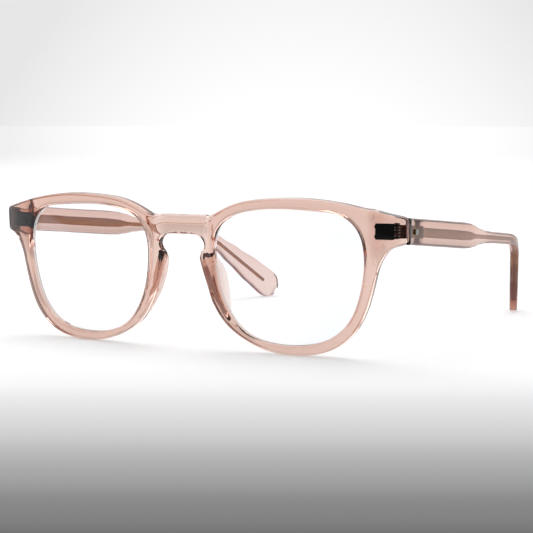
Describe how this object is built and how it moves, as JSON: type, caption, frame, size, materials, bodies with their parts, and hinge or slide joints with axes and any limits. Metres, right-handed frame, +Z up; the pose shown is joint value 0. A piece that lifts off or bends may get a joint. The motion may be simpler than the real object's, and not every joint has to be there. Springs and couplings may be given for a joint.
{
  "type": "spectacles",
  "caption": "Clear acetate spectacles with plano blue-light filter lenses, a keyhole bridge, built-up nose pads and folding temples with metal core wires.",
  "frame": {"origin": "middle of the object's box, on the surface that it stands on", "axes": "+X towards the wearer's left, +Y from the front towards the temple tips, +Z up"},
  "size_m": [0.1402, 0.1502, 0.0457],
  "materials": {
    "acetate": "polished clear blush acetate",
    "lens": "clear plano lens with a faint blue-violet anti-reflection coating",
    "dark_metal": "dark satin metal",
    "brass": "satin brass",
    "steel": "satin"
  },
  "bodies": {
    "frame_front": {"front": "acetate", "lens_left": "lens", "nose_pad_left": "acetate", "hinge_front_left": "dark_metal", "hinge_stud_upper_left": "dark_metal", "hinge_stud_lower_left": "dark_metal", "hinge_screw_left": "steel", "lens_right": "lens", "nose_pad_right": "acetate", "hinge_front_right": "dark_metal", "hinge_stud_upper_right": "dark_metal", "hinge_stud_lower_right": "dark_metal", "hinge_screw_right": "steel"},
    "temple_left_arm": {"temple_left": "acetate", "hinge_temple_left": "brass", "core_wire_left": "brass", "temple_inlay_left": "steel"},
    "temple_right_arm": {"temple_right": "acetate", "hinge_temple_right": "brass", "core_wire_right": "brass", "temple_inlay_right": "steel"}
  },
  "joints": [
    {"name": "temple_left_fold", "type": "hinge", "parent": "frame_front", "child": "temple_left_arm", "pos_m": [0.0651, -0.06295, 0.0366], "axis": [0, 0, 1], "range_deg": [0, 84]},
    {"name": "temple_right_fold", "type": "hinge", "parent": "frame_front", "child": "temple_right_arm", "pos_m": [-0.0651, -0.06295, 0.0366], "axis": [0, 0, -1], "range_deg": [0, 72]}
  ]
}
